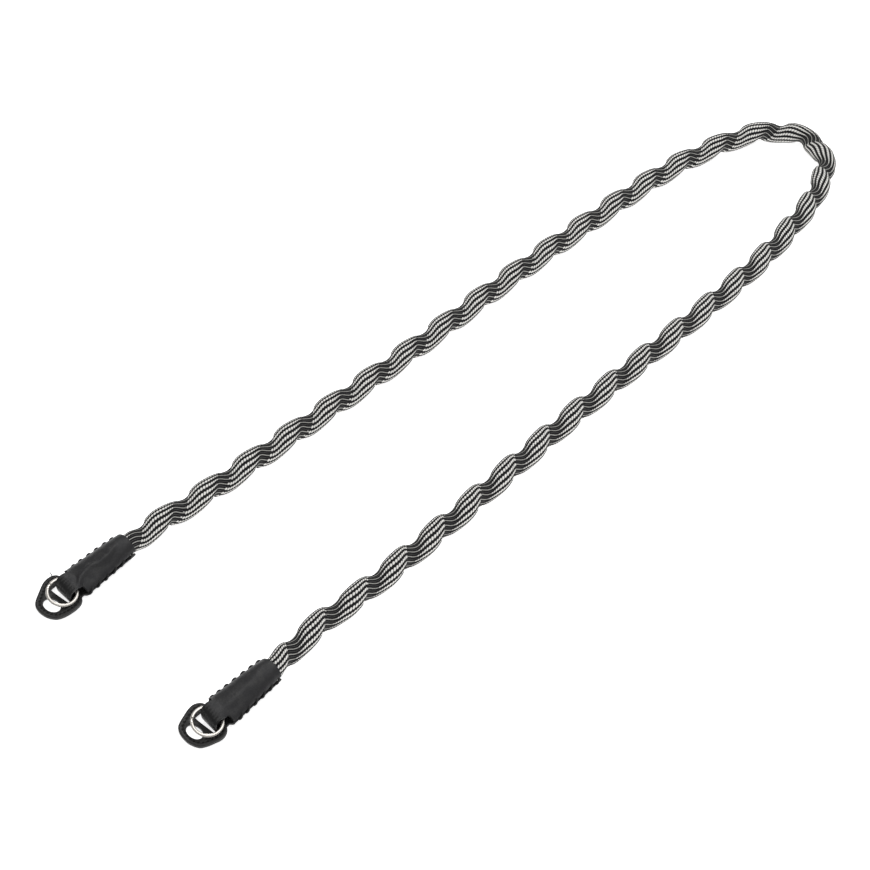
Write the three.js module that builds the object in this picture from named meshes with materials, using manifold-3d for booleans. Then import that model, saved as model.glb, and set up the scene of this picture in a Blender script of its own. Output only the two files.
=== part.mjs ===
// Camera neck strap. A round woven rope with a wound, wavy body is sewn at each end into a folded
// leather sleeve. The sleeve runs out into a tongue that loops round a split ring and passes down
// through a leather protector. The strap lies on a table: its bend at +X, its two ends at -X.
// Millimetres, +Z up. The origin is at the middle of the strap's box, on the table.
import * as THREE from 'three';
import { mergeVertices } from 'three/addons/utils/BufferGeometryUtils.js';
import Module from 'manifold-3d';

const wasm = await Module();
wasm.setup();

// Rope: an oval body whose middle winds round the route, left-handed, its flat side inward
const ROPE_RADIUS = 4.6;
const ROPE_OVAL = 0.2;
const MOUTH_RADIUS = 4.25;
const ROPE_WAVE = 1.08;
const ROPE_HEIGHT = 5.55;
const ROPE_SIDES = 12;
const RINGS_PER_TURN = 8;
const WAVE_FADE = 11;
const FIRST_TURN = 0.99;
const MEAN_PITCH = 25;
const LAY = [
  { until: 150, pitch: 25.3 }, { until: 290, pitch: 25.7 }, { until: 430, pitch: 24.8 },
  { until: 514, pitch: 22.75 }, { until: 600, pitch: 24.4 }, { until: 680, pitch: 25.05 },
  { until: 2000, pitch: 24.8 },
];

// The route that the rope takes over the table, from the left sleeve's mouth to the right one's
const ROUTE = [
  [-193.2, 45.2], [-173.3, 44.9], [-154.3, 43.6], [-132.2, 42.8], [-87.2, 41.9], [-42.2, 41.3],
  [2.8, 41.5], [47.8, 42.3], [92.8, 42.1], [137.8, 41.2], [169.3, 39.7], [193.1, 36.5], [216.5, 31.0],
  [227.6, 26.5], [237.1, 19.5], [242.9, 9.3], [242.1, -2.5], [235.4, -12.3], [225.6, -19.2],
  [203.4, -27.7], [179.8, -32.4], [156.1, -36.2], [123.3, -38.7], [78.3, -40.0], [33.3, -40.5],
  [-11.7, -41.5], [-56.6, -43.7], [-101.6, -45.6], [-143.3, -46.3], [-161.3, -45.5], [-179.3, -45.9],
  [-191.3, -47.5], [-201.9, -48.6],
];

// Sleeve: sections from the rope's mouth to the shoulder, then the open tongue
const WALL = 1.0;
const GAP = 0.3;
const MOUTH_TO_FOLD = 35.5;
const SHOULDER_TO_FOLD = 7.0;
const SLEEVE_SIDES = 20;
const SLEEVE = [
  { fromMouth: 0, halfWidth: 5.7, height: 11.3, pinch: 1.0 },
  { fromMouth: 5, halfWidth: 6.1, height: 11.2, pinch: 1.08 },
  { fromMouth: 11, halfWidth: 6.5, height: 10.8, pinch: 1.18 },
  { fromMouth: 17, halfWidth: 6.8, height: 10.1, pinch: 1.26 },
  { fromMouth: 21, halfWidth: 7.0, height: 9.6, pinch: 1.3 },
  { fromMouth: 25, halfWidth: 7.2, height: 9.2, pinch: 1.32 },
  { fromMouth: MOUTH_TO_FOLD - SHOULDER_TO_FOLD, halfWidth: 7.4, height: 8.8, pinch: 1.34 },
];
const MOUTH_CUT = 0.5;
const SHOULDER_CUT = 0.2;
const PANEL_LEAN = Math.tan(THREE.MathUtils.degToRad(12));

// The rope's ends inside the sleeves: depths from the mouth and radius
const HIDDEN_DEPTHS = [5, 11, 16, 21];
const HIDDEN_RADIUS = 4.15;

// Tongue: the loop's outside and inside, as distance from the fold and height
const TONGUE_HALF_WIDTH = 4.5;
const LOOP_CUT_HALF_WIDTH = 9;
const TONGUE_HEIGHT = 8.8;
const TONGUE_LEAN_SHARE = 0.82;
const LOOP_OUTSIDE = [
  { fromFold: 8.5, height: 0 }, { fromFold: 2.8, height: 0 }, { fromFold: 1.5, height: 0.5 },
  { fromFold: 0.7, height: 2.0 }, { fromFold: 0.15, height: 4.2 }, { fromFold: 0, height: 6.2 },
  { fromFold: 0.6, height: 7.7 }, { fromFold: 1.8, height: 8.5 }, { fromFold: 3.6, height: 8.8 },
  { fromFold: 8.5, height: 8.7 },
];
const LOOP_INSIDE = [
  { fromFold: 6.9, height: 1.1 }, { fromFold: 3.1, height: 1.1 }, { fromFold: 2.4, height: 1.4 },
  { fromFold: 1.8, height: 2.5 }, { fromFold: 1.25, height: 4.5 }, { fromFold: 1.1, height: 6.2 },
  { fromFold: 1.5, height: 7.1 }, { fromFold: 2.3, height: 7.6 }, { fromFold: 3.8, height: 7.8 },
  { fromFold: 6.9, height: 7.7 },
];

// Split ring
const RING_RADIUS = 6.2;
const RING_WIRE = { radial: 0.6, axial: 0.65 };
const RING_SEGMENTS = 16;
const WIRE_SIDES = 6;
const RING_RISE = Math.tan(THREE.MathUtils.degToRad(6));
const RING_LEAN = Math.tan(THREE.MathUtils.degToRad(16));

// Protectors: outline round the free end and under the sleeve, as distance from the fold and across
const PAD_THICKNESS = 1.5;
const PAD_BEVEL = 0.25;
const PAD_SLOPE = THREE.MathUtils.degToRad(5.2);
const PAD_LIFT = 0.02;
const PAD_FREE_END = 12.5;
const LEFT_PAD = [
  { along: -12.5, across: 0.4 }, { along: -12.3, across: -2.1 }, { along: -11.6, across: -4.3 },
  { along: -10.1, across: -6.6 }, { along: -7.7, across: -8.0 }, { along: -4.9, across: -8.7 },
  { along: -2.1, across: -9.0 }, { along: 0.2, across: -8.9 }, { along: 2.0, across: -8.4 },
  { along: 3.6, across: -7.3 }, { along: 4.8, across: -5.3 }, { along: 5.4, across: -2.3 },
  { along: 5.7, across: 0.9 }, { along: 6.0, across: 4.3 }, { along: 6.3, across: 7.7 },
  { along: 5.9, across: 10.1 }, { along: 4.6, across: 11.6 }, { along: 2.8, across: 12.2 },
  { along: 0.8, across: 12.2 }, { along: -1.3, across: 11.7 }, { along: -3.5, across: 10.6 },
  { along: -6.5, across: 8.9 }, { along: -9.5, across: 7.1 }, { along: -11.3, across: 5.3 },
  { along: -12.2, across: 2.9 },
];
const RIGHT_PAD = [
  { along: -11.3, across: 0.8 }, { along: -11.1, across: -1.3 }, { along: -10.6, across: -3.2 },
  { along: -9.7, across: -4.9 }, { along: -8.3, across: -6.0 }, { along: -6.4, across: -7.0 },
  { along: -4.2, across: -7.8 }, { along: -2.2, across: -8.5 }, { along: -0.4, across: -8.7 },
  { along: 1.4, across: -8.3 }, { along: 3.2, across: -7.2 }, { along: 4.6, across: -5.2 },
  { along: 5.4, across: -2.3 }, { along: 5.8, across: 1.0 }, { along: 6.1, across: 4.5 },
  { along: 6.4, across: 7.6 }, { along: 6.1, across: 9.6 }, { along: 4.8, across: 11.1 },
  { along: 3.1, across: 11.9 }, { along: 1.2, across: 12.0 }, { along: -1.0, across: 11.6 },
  { along: -3.6, across: 10.8 }, { along: -6.3, across: 9.9 }, { along: -8.4, across: 8.8 },
  { along: -9.8, across: 7.0 }, { along: -10.8, across: 4.3 },
];
const LUG_POINTS = 16;
const SLOT = { halfWidth: 2.45, halfLength: 7.0, corner: 1.2 };

// The two ends: where the tongue folds, how its front slants, its ring and its protector; turns in radians
const ENDS = [
  {
    side: 'left',
    foldX: -228.7,
    y: 45.2,
    front: { skew: 0.12, advance: 0.3 },
    ring: { along: -0.9, across: -0.1, height: 5.3 },
    padOutline: LEFT_PAD,
    lugHole: { along: -6.6, across: 0.3, halfWidth: 3.1, halfLength: 4.6, turn: -0.08 },
    slot: { along: 1.5, across: 0.3, turn: -0.09 },
  },
  {
    side: 'right',
    foldX: -237.4,
    y: -48.6,
    front: { skew: 0.16, advance: 0 },
    ring: { along: -0.75, across: 0, height: 5.2 },
    padOutline: RIGHT_PAD,
    lugHole: { along: -5.9, across: 2.1, halfWidth: 2.8, halfLength: 4.4, turn: -0.16 },
    slot: { along: 1.7, across: 0.3, turn: -0.13 },
  },
];

const leather = new THREE.MeshStandardMaterial({ color: 0x2f2f31, roughness: 0.55, metalness: 0 });
const padLeather = new THREE.MeshStandardMaterial({ color: 0x262627, roughness: 0.65, metalness: 0 });
const nickel = new THREE.MeshStandardMaterial({ color: 0xc9c4bb, roughness: 0.25, metalness: 1 });
const wovenRope = new THREE.MeshStandardMaterial({ color: 0x6f6d6a, roughness: 0.9, metalness: 0 });

const UP = new THREE.Vector3(0, 0, 1);

// A closed body through sections of equal point counts, each end capped by a fan
function loft(sections) {
  const count = sections[0].length;
  const positions = sections.flat().flatMap((point) => [point.x, point.y, point.z]);
  const indices = [];
  for (let ring = 0; ring + 1 < sections.length; ring += 1) {
    for (let side = 0; side < count; side += 1) {
      const next = (side + 1) % count;
      const here = ring * count;
      const there = here + count;
      indices.push(here + side, here + next, there + next);
      indices.push(here + side, there + next, there + side);
    }
  }
  const last = (sections.length - 1) * count;
  for (let side = 1; side + 1 < count; side += 1) {
    indices.push(0, side + 1, side);
    indices.push(last, last + side, last + side + 1);
  }
  const geometry = new THREE.BufferGeometry();
  geometry.setAttribute('position', new THREE.Float32BufferAttribute(positions, 3));
  geometry.setIndex(indices);
  return geometry;
}

function toSolid(geometry) {
  const bare = geometry.clone();
  bare.deleteAttribute('normal');
  bare.deleteAttribute('uv');
  const merged = mergeVertices(bare, 1e-4);
  const mesh = new wasm.Mesh({
    numProp: 3,
    vertProperties: new Float32Array(merged.attributes.position.array),
    triVerts: new Uint32Array(merged.index.array),
  });
  return new wasm.Manifold(mesh);
}

function toGeometry(solid) {
  const mesh = solid.getMesh();
  const geometry = new THREE.BufferGeometry();
  geometry.setAttribute('position', new THREE.Float32BufferAttribute(mesh.vertProperties, 3));
  geometry.setIndex(new THREE.Uint32BufferAttribute(mesh.triVerts, 1));
  geometry.computeVertexNormals();
  return geometry;
}

// Turns of the wave at a distance from the left mouth
function turnsAt(distance) {
  let turns = FIRST_TURN;
  let from = 0;
  for (const stretch of LAY) {
    const to = Math.min(distance, stretch.until);
    turns -= (to - from) / stretch.pitch;
    from = to;
  }
  return turns;
}

function sleeveHeightAt(fromMouth) {
  const index = SLEEVE.findIndex((row) => row.fromMouth >= fromMouth);
  const before = SLEEVE[index - 1];
  const after = SLEEVE[index];
  const share = (fromMouth - before.fromMouth) / (after.fromMouth - before.fromMouth);
  return THREE.MathUtils.lerp(before.height, after.height, share);
}

function ropeGeometry() {
  const points = ROUTE.map(([x, y]) => new THREE.Vector3(x, y, ROPE_HEIGHT));
  const route = new THREE.CatmullRomCurve3(points, false, 'catmullrom', 0.5);
  route.arcLengthDivisions = 4000;
  const length = route.getLength();
  const sections = [];
  const addRing = (centre, across, upward, radiusAt) => {
    const ring = [];
    for (let side = 0; side < ROPE_SIDES; side += 1) {
      const angle = (2 * Math.PI * side) / ROPE_SIDES;
      const { wide, tall } = radiusAt(angle);
      ring.push(centre.clone()
        .addScaledVector(across, wide * Math.cos(angle))
        .addScaledVector(upward, tall * Math.sin(angle)));
    }
    sections.push(ring);
  };
  // The end that each sleeve hides runs towards -X and is squeezed flatter near the tongue
  const addHidden = (mouth, heading, depths) => {
    const across = new THREE.Vector3(0, heading, 0);
    for (const depth of depths) {
      const height = sleeveHeightAt(depth);
      const tall = Math.min(HIDDEN_RADIUS, height / 2 - WALL - 2 * GAP);
      const centre = new THREE.Vector3(mouth.x - depth, mouth.y, height / 2);
      addRing(centre, across, UP, () => ({ wide: HIDDEN_RADIUS, tall }));
    }
  };
  addHidden(points[0], 1, [...HIDDEN_DEPTHS].reverse());
  const steps = Math.round(-(turnsAt(length) - turnsAt(0)) * RINGS_PER_TURN);
  for (let step = 0; step <= steps; step += 1) {
    const share = step / steps;
    const distance = share * length;
    const tangent = route.getTangentAt(share);
    const side = new THREE.Vector3().crossVectors(UP, tangent);
    const angle = 2 * Math.PI * turnsAt(distance);
    const nearEnd = Math.min(distance, length - distance);
    const grown = THREE.MathUtils.smoothstep(nearEnd, 0, WAVE_FADE);
    const wave = ROPE_WAVE * grown;
    const body = THREE.MathUtils.lerp(MOUTH_RADIUS, ROPE_RADIUS, grown);
    const centre = route.getPointAt(share)
      .addScaledVector(side, wave * Math.cos(angle))
      .addScaledVector(UP, wave * Math.sin(angle));
    const slope = (-2 * Math.PI * wave) / MEAN_PITCH;
    const heading = tangent.clone()
      .addScaledVector(side, -slope * Math.sin(angle))
      .addScaledVector(UP, slope * Math.cos(angle))
      .normalize();
    const across = side.addScaledVector(heading, -side.dot(heading)).normalize();
    const upward = new THREE.Vector3().crossVectors(heading, across);
    addRing(centre, across, upward, (corner) => {
      const radius = body - ROPE_OVAL * grown * Math.cos(2 * (corner - angle));
      return { wide: radius, tall: radius };
    });
  }
  addHidden(points[points.length - 1], -1, HIDDEN_DEPTHS);
  const geometry = loft(sections);
  geometry.computeVertexNormals();
  return geometry;
}

// The front panel leans: its +Y edge stands higher, more so the nearer the tongue
function leanTop(point, height, lean) {
  point.z += (point.z / height) * lean * point.y;
  return point;
}

function sleeveSection(row, inset) {
  const towardFold = row.fromMouth / MOUTH_TO_FOLD;
  const x = MOUTH_TO_FOLD - row.fromMouth;
  const halfHeight = row.height / 2 - inset;
  const halfWidth = row.halfWidth - inset * row.pinch;
  const section = [];
  for (let side = 0; side < SLEEVE_SIDES; side += 1) {
    const angle = (2 * Math.PI * side) / SLEEVE_SIDES;
    const rise = Math.sin(angle);
    const z = row.height / 2 + halfHeight * Math.sign(rise) * Math.abs(rise) ** row.pinch;
    const point = new THREE.Vector3(x, -halfWidth * Math.cos(angle), z);
    section.push(leanTop(point, row.height, PANEL_LEAN * towardFold));
  }
  return section;
}

// A profile of distance and height, carried across the tongue and leaned like the front panel
function acrossTongue(profile, halfWidth, front) {
  const points = profile.map(({ fromFold, height }) => new THREE.Vector2(fromFold, height));
  if (THREE.ShapeUtils.isClockWise(points)) points.reverse();
  const count = points.length;
  const corners = [-halfWidth, halfWidth].flatMap((y) => points.map((point) => {
    const moved = front.skew * (y - TONGUE_HALF_WIDTH) - front.advance;
    const x = point.x + moved * (1 - point.x / LOOP_OUTSIDE[0].fromFold);
    return leanTop(new THREE.Vector3(x, y, point.y), TONGUE_HEIGHT, PANEL_LEAN * TONGUE_LEAN_SHARE);
  }));
  const indices = [];
  for (const [a, b, c] of THREE.ShapeUtils.triangulateShape(points, [])) {
    const turned = THREE.ShapeUtils.area([points[a], points[b], points[c]]) < 0;
    const [second, third] = turned ? [c, b] : [b, c];
    indices.push(a, second, third);
    indices.push(count + a, count + third, count + second);
  }
  for (let corner = 0; corner < count; corner += 1) {
    const next = (corner + 1) % count;
    indices.push(corner, count + corner, count + next);
    indices.push(corner, count + next, next);
  }
  const geometry = new THREE.BufferGeometry();
  const positions = corners.flatMap((point) => [point.x, point.y, point.z]);
  geometry.setAttribute('position', new THREE.Float32BufferAttribute(positions, 3));
  geometry.setIndex(indices);
  return geometry;
}

function sleeveGeometry(front) {
  const body = toSolid(loft(SLEEVE.map((row) => sleeveSection(row, 0))));
  const tongue = toSolid(acrossTongue(LOOP_OUTSIDE, TONGUE_HALF_WIDTH, front));
  const hollowRows = SLEEVE.map((row, index) => {
    const last = index === SLEEVE.length - 1;
    const cutPast = (last ? SHOULDER_CUT : 0) - (index === 0 ? MOUTH_CUT : 0);
    const halfWidth = last ? TONGUE_HALF_WIDTH + WALL * row.pinch : row.halfWidth;
    return { ...row, fromMouth: row.fromMouth + cutPast, halfWidth };
  });
  const hollow = toSolid(loft(hollowRows.map((row) => sleeveSection(row, WALL))));
  const loop = toSolid(acrossTongue(LOOP_INSIDE, LOOP_CUT_HALF_WIDTH, front));
  const solid = body.add(tongue).subtract(hollow).subtract(loop);
  return toGeometry(solid);
}

function ringGeometry() {
  const sections = [];
  for (let segment = 0; segment < RING_SEGMENTS; segment += 1) {
    const turn = (2 * Math.PI * segment) / RING_SEGMENTS;
    const ring = [];
    for (let side = 0; side < WIRE_SIDES; side += 1) {
      const angle = (2 * Math.PI * (side + 0.5)) / WIRE_SIDES;
      const radius = RING_RADIUS + RING_WIRE.radial * Math.cos(angle);
      const height = RING_WIRE.axial * Math.sin(angle);
      ring.push(new THREE.Vector3(radius * Math.cos(turn), radius * Math.sin(turn), height));
    }
    sections.push(ring);
  }
  const geometry = new THREE.BufferGeometry();
  const positions = sections.flat().flatMap((point) => [point.x, point.y, point.z]);
  const indices = [];
  for (let segment = 0; segment < RING_SEGMENTS; segment += 1) {
    const here = segment * WIRE_SIDES;
    const there = ((segment + 1) % RING_SEGMENTS) * WIRE_SIDES;
    for (let side = 0; side < WIRE_SIDES; side += 1) {
      const next = (side + 1) % WIRE_SIDES;
      indices.push(here + side, there + next, here + next);
      indices.push(here + side, there + side, there + next);
    }
  }
  geometry.setAttribute('position', new THREE.Float32BufferAttribute(positions, 3));
  geometry.setIndex(indices);
  geometry.computeVertexNormals();
  return geometry;
}

function protectorGeometry({ padOutline, lugHole, slot }) {
  const shape = new THREE.Shape(padOutline.map(({ along, across }) => new THREE.Vector2(along, across)));
  const lug = new THREE.Path();
  const { halfWidth, halfLength } = lugHole;
  lug.absellipse(lugHole.along, lugHole.across, halfWidth, halfLength, 0, 2 * Math.PI, true, lugHole.turn);
  shape.holes.push(new THREE.Path(lug.getPoints(LUG_POINTS).slice(0, -1)));
  const wide = SLOT.halfWidth;
  const long = SLOT.halfLength;
  const cut = SLOT.corner;
  const corners = [
    [-wide, -long + cut], [-wide, long - cut], [-wide + cut, long], [wide - cut, long],
    [wide, long - cut], [wide, -long + cut], [wide - cut, -long], [-wide + cut, -long],
  ];
  const middle = new THREE.Vector2(slot.along, slot.across);
  const origin = new THREE.Vector2();
  const slotPoints = corners.map(([x, y]) => new THREE.Vector2(x, y).rotateAround(origin, slot.turn).add(middle));
  shape.holes.push(new THREE.Path(slotPoints));
  const geometry = new THREE.ExtrudeGeometry(shape, {
    depth: PAD_THICKNESS - 2 * PAD_BEVEL,
    bevelEnabled: true,
    bevelThickness: PAD_BEVEL,
    bevelSize: PAD_BEVEL,
    bevelOffset: -PAD_BEVEL,
    bevelSegments: 1,
    curveSegments: 1,
  });
  geometry.translate(0, 0, PAD_BEVEL);
  return geometry;
}

function ringPlacement() {
  const axis = new THREE.Vector3(-RING_RISE, -RING_LEAN, 1).normalize();
  return new THREE.Quaternion().setFromUnitVectors(UP, axis);
}

const strap = new THREE.Group();

function addMesh(parent, name, geometry, material) {
  const mesh = new THREE.Mesh(geometry, material);
  mesh.name = name;
  parent.add(mesh);
  return mesh;
}

addMesh(strap, 'rope', ropeGeometry(), wovenRope);

for (const end of ENDS) {
  const group = new THREE.Group();
  group.position.set(end.foldX, end.y, 0);
  strap.add(group);
  addMesh(group, `sleeve_${end.side}`, sleeveGeometry(end.front), leather);
  const ring = addMesh(group, `ring_${end.side}`, ringGeometry(), nickel);
  ring.position.set(end.ring.along, end.ring.across, end.ring.height);
  ring.quaternion.copy(ringPlacement());
  const pad = addMesh(group, `protector_${end.side}`, protectorGeometry(end), padLeather);
  pad.position.set(0, 0, PAD_FREE_END * Math.sin(PAD_SLOPE) + PAD_LIFT);
  pad.rotation.y = -PAD_SLOPE;
}

export default strap;
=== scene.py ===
import math
import bpy
import numpy as np
from mathutils import Matrix, Vector


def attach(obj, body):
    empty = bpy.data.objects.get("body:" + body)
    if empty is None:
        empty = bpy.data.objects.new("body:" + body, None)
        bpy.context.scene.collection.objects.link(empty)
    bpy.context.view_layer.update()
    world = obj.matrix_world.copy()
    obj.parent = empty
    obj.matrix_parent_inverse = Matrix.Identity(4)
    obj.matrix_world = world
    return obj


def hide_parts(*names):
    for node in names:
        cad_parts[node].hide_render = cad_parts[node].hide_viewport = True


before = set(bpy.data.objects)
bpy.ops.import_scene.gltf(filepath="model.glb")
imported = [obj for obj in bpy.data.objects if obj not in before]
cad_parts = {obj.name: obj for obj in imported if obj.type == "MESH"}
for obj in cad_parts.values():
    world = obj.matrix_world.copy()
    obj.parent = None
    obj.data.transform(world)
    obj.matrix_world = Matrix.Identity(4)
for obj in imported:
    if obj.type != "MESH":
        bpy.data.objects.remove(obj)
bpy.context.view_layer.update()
bpy.ops.object.select_all(action="DESELECT")

# Camera: a long lens that looks down on the table from the side of the strap's two ends,
# so that the rope runs away from it to the upper right.
CAMERA_AT = Vector((-0.6921, -0.5413, 0.7843))
CAMERA_AIM = Vector((-0.0478, -0.0007, 0.0))
CAMERA_ROLL = math.radians(2.2)
LENS_MM, SENSOR_MM = 106.4, 36.0
FARTHEST_SEEN = 20.0


def link_object(name, data):
    """A new object of a mesh, curve, camera or light, in the scene."""
    added = bpy.data.objects.new(name, data)
    bpy.context.collection.objects.link(added)
    return added


view = (CAMERA_AIM - CAMERA_AT).normalized()
level = view.cross(Vector((0, 0, 1))).normalized()
above = level.cross(view)
camera_x = level * math.cos(CAMERA_ROLL) + above * math.sin(CAMERA_ROLL)
camera_y = above * math.cos(CAMERA_ROLL) - level * math.sin(CAMERA_ROLL)
placed = Matrix((camera_x, camera_y, -view)).transposed().to_4x4()
placed.translation = CAMERA_AT
camera_data = bpy.data.cameras.new("camera")
camera_data.sensor_width = SENSOR_MM
camera_data.lens = LENS_MM
camera_data.clip_end = FARTHEST_SEEN
camera = link_object("camera", camera_data)
camera.matrix_world = placed
bpy.context.scene.camera = camera
bpy.context.scene.view_settings.view_transform = "Standard"

# Rope: a round woven cord of white and black ribs that run along it, wound so that its outline waves.
# It leaves the left sleeve's mouth, lies in a long U on the table and goes into the right sleeve's.
ROPE_HALF_WIDTH = 0.00456     # mean distance from the wound middle to the outline
ROPE_OVAL = 0.00022           # how much flatter the body is along its wave than across it
OVAL_TURN = 0.43
MOUTH_HALF_WIDTH = 0.00425
ROPE_WAVE = 0.00108           # how far the wound middle swings off the route
ROPE_HEIGHT = 0.00555
WAVE_FADE = 0.011             # the waves grow to full size over this distance from each mouth
FIRST_TURN = 0.99
HALF_TURN = 0.5               # the necks lie on the side away from the wave's swing
LAY = [  # reaches to this distance, with this pitch
    (0.150, 0.0253), (0.290, 0.0257), (0.430, 0.0248), (0.514, 0.02275),
    (0.600, 0.0244), (0.680, 0.02505), (2.0, 0.0248),
]
ROUTE_MM = [
    (-193.2, 45.2), (-173.3, 44.9), (-154.3, 43.6), (-132.2, 42.8), (-87.2, 41.9), (-42.2, 41.3),
    (2.8, 41.5), (47.8, 42.3), (92.8, 42.1), (137.8, 41.2), (169.3, 39.7), (193.1, 36.5), (216.5, 31.0),
    (227.6, 26.5), (237.1, 19.5), (242.9, 9.3), (242.1, -2.5), (235.4, -12.3), (225.6, -19.2),
    (203.4, -27.7), (179.8, -32.4), (156.1, -36.2), (123.3, -38.7), (78.3, -40.0), (33.3, -40.5),
    (-11.7, -41.5), (-56.6, -43.7), (-101.6, -45.6), (-143.3, -46.3), (-161.3, -45.5), (-179.3, -45.9),
    (-191.3, -47.5), (-201.9, -48.6),
]
ROUTE_STEPS = 160             # points of the smooth route from one of these to the next
TANGENT_REACH = 0.0004
ROPE_RIBS = 13
STEPS_PER_RIB = 6
RINGS_PER_TURN = 26
HIDDEN_DEPTHS = [0.004, 0.008, 0.013, 0.018, 0.021]
HIDDEN_HEIGHTS = [0.00557, 0.00546, 0.0053, 0.0050, 0.0048]
HIDDEN_FLATNESS = [1.0, 0.97, 0.9, 0.79, 0.72]
HIDDEN_HALF_WIDTH = 0.0041
HIDDEN_RELIEF = 0.3           # share of the ribs' height that is left inside the sleeves
LIFT_OFF_TABLE = 0.00004
RIB_PROUD = 0.00030
WHITE_RIB_HALF, BLACK_RIB_HALF = 0.26, 0.29      # half widths, as shares of the step from rib to rib
LOBE_WHITE, LOBE_BLACK = 0.55, 1.05              # heights in the lobes, as shares of RIB_PROUD
NECK_WHITE, NECK_BESIDE = 0.15, 0.4              # heights in the necks
BESIDE_AT, BESIDE_HALF = 0.28, 0.2
NECK_SHARE = 0.135            # half a neck, as a share of one turn
NECK_EDGE = 0.06
LOBE_SWELL = 0.00040          # each lobe steps up by this where it comes out of a neck
SWELL_RISE = 0.05


def curve_between(four_points, share):
    """A smooth curve through a row of points, from the second to the third of four of them."""
    p0, p1, p2, p3 = four_points
    m1, m2 = (p2 - p0) / 2, (p3 - p1) / 2
    return ((2 * share**3 - 3 * share**2 + 1) * p1 + (share**3 - 2 * share**2 + share) * m1
            + (-2 * share**3 + 3 * share**2) * p2 + (share**3 - share**2) * m2)


def smooth_route(points):
    """Closely spaced points on the smooth curve through the route's points, and their distances."""
    padded = [2 * points[0] - points[1], *points, 2 * points[-1] - points[-2]]
    share = np.linspace(0, 1, ROUTE_STEPS, endpoint=False)[:, None]
    pieces = [curve_between(padded[i - 1:i + 3], share) for i in range(1, len(padded) - 2)]
    dense = np.vstack(pieces + [padded[-2][None]])
    steps = np.linalg.norm(np.diff(dense, axis=0), axis=1)
    return dense, np.concatenate([[0], np.cumsum(steps)])


def turns_at(distance):
    """Turns of the rope's wave, counted down from the left sleeve's mouth."""
    turns, start = FIRST_TURN, 0.0
    for until, pitch in LAY:
        turns -= (min(distance, until) - start) / pitch
        start = min(distance, until)
    return turns


def smoothstep(x):
    x = np.clip(x, 0, 1)
    return x * x * (3 - 2 * x)


def hump(share):
    """1 at share 0 and 0 from share 1 on, rounded at both."""
    return np.cos(np.pi * np.clip(share, 0, 1)) * 0.5 + 0.5


route, route_distance = smooth_route([np.array([x, y, 1000 * ROPE_HEIGHT]) / 1000 for x, y in ROUTE_MM])
rope_length = float(route_distance[-1])
turn_count = FIRST_TURN - turns_at(rope_length)
ring_distances = np.linspace(0, rope_length, int(round(turn_count * RINGS_PER_TURN)) + 1)
rib_rows = ROPE_RIBS * STEPS_PER_RIB
ring_points, ring_rib, ring_bead, ring_neck, rope_path = [], [], [], [], []


def add_rope_ring(centre, across, upward, distance, neck_turn, half_width, flat, grown):
    """One ring of the rope, its corners kept on the ribs so that the ribs turn with them."""
    rib = np.arange(rib_rows + 1) / STEPS_PER_RIB
    angle = 2 * np.pi * (rib - turns_at(distance)) / ROPE_RIBS
    neck = angle / (2 * np.pi) - neck_turn
    to_neck = neck - np.round(neck)
    in_neck = 1 - smoothstep((np.abs(to_neck) - NECK_SHARE + NECK_EDGE / 2) / NECK_EDGE)
    from_rib = np.abs(rib - np.round(rib))
    white = hump(from_rib / WHITE_RIB_HALF)
    black = hump((0.5 - from_rib) / BLACK_RIB_HALF)
    beside = np.cos(np.pi * np.clip(np.abs(from_rib - BESIDE_AT) / BESIDE_HALF, 0, 1))
    lobe_relief = LOBE_WHITE * RIB_PROUD * white + LOBE_BLACK * RIB_PROUD * black
    neck_relief = NECK_WHITE * RIB_PROUD * white + NECK_BESIDE * RIB_PROUD * beside
    past_neck = np.mod(to_neck - NECK_SHARE, 1.0)
    lobe_length = 1 - 2 * NECK_SHARE
    swell = LOBE_SWELL * smoothstep(past_neck / SWELL_RISE) * np.clip(1 - past_neck / lobe_length, 0, 1)
    proud = lobe_relief * (1 - in_neck) + neck_relief * in_neck - RIB_PROUD / 2 + swell - LOBE_SWELL / 3
    oval_turn = 2 * np.pi * (2 * (neck + HALF_TURN) + OVAL_TURN)
    reach = half_width + grown * (ROPE_OVAL * np.cos(oval_turn) + proud)
    slide = -2 * grown * ROPE_OVAL * np.sin(oval_turn)
    corners = (centre + (reach * np.cos(angle) - slide * np.sin(angle))[:, None] * across
               + (flat * (reach * np.sin(angle) + slide * np.cos(angle)))[:, None] * upward)
    corners[:, 2] = np.maximum(corners[:, 2], LIFT_OFF_TABLE)
    ring_points.append(corners)
    ring_rib.append(rib)
    ring_bead.append(np.full(rib_rows + 1, distance))
    ring_neck.append(neck)


def add_hidden_end(mouth, heading, depths, distance, sign):
    """The rope's end inside a sleeve, straight and squeezed flatter towards the tongue."""
    for depth in depths:
        height = float(np.interp(depth, HIDDEN_DEPTHS, HIDDEN_HEIGHTS))
        flat = float(np.interp(depth, HIDDEN_DEPTHS, HIDDEN_FLATNESS))
        centre = np.array([mouth[0] - depth, mouth[1], height])
        rope_path.append(centre)
        add_rope_ring(centre, np.array([0.0, heading, 0.0]), np.array([0.0, 0.0, 1.0]),
                      distance + sign * depth, turns_at(distance) + HALF_TURN, HIDDEN_HALF_WIDTH, flat,
                      HIDDEN_RELIEF)


def on_route(distance):
    return np.array([np.interp(distance, route_distance, route[:, k]) for k in range(3)])


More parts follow.
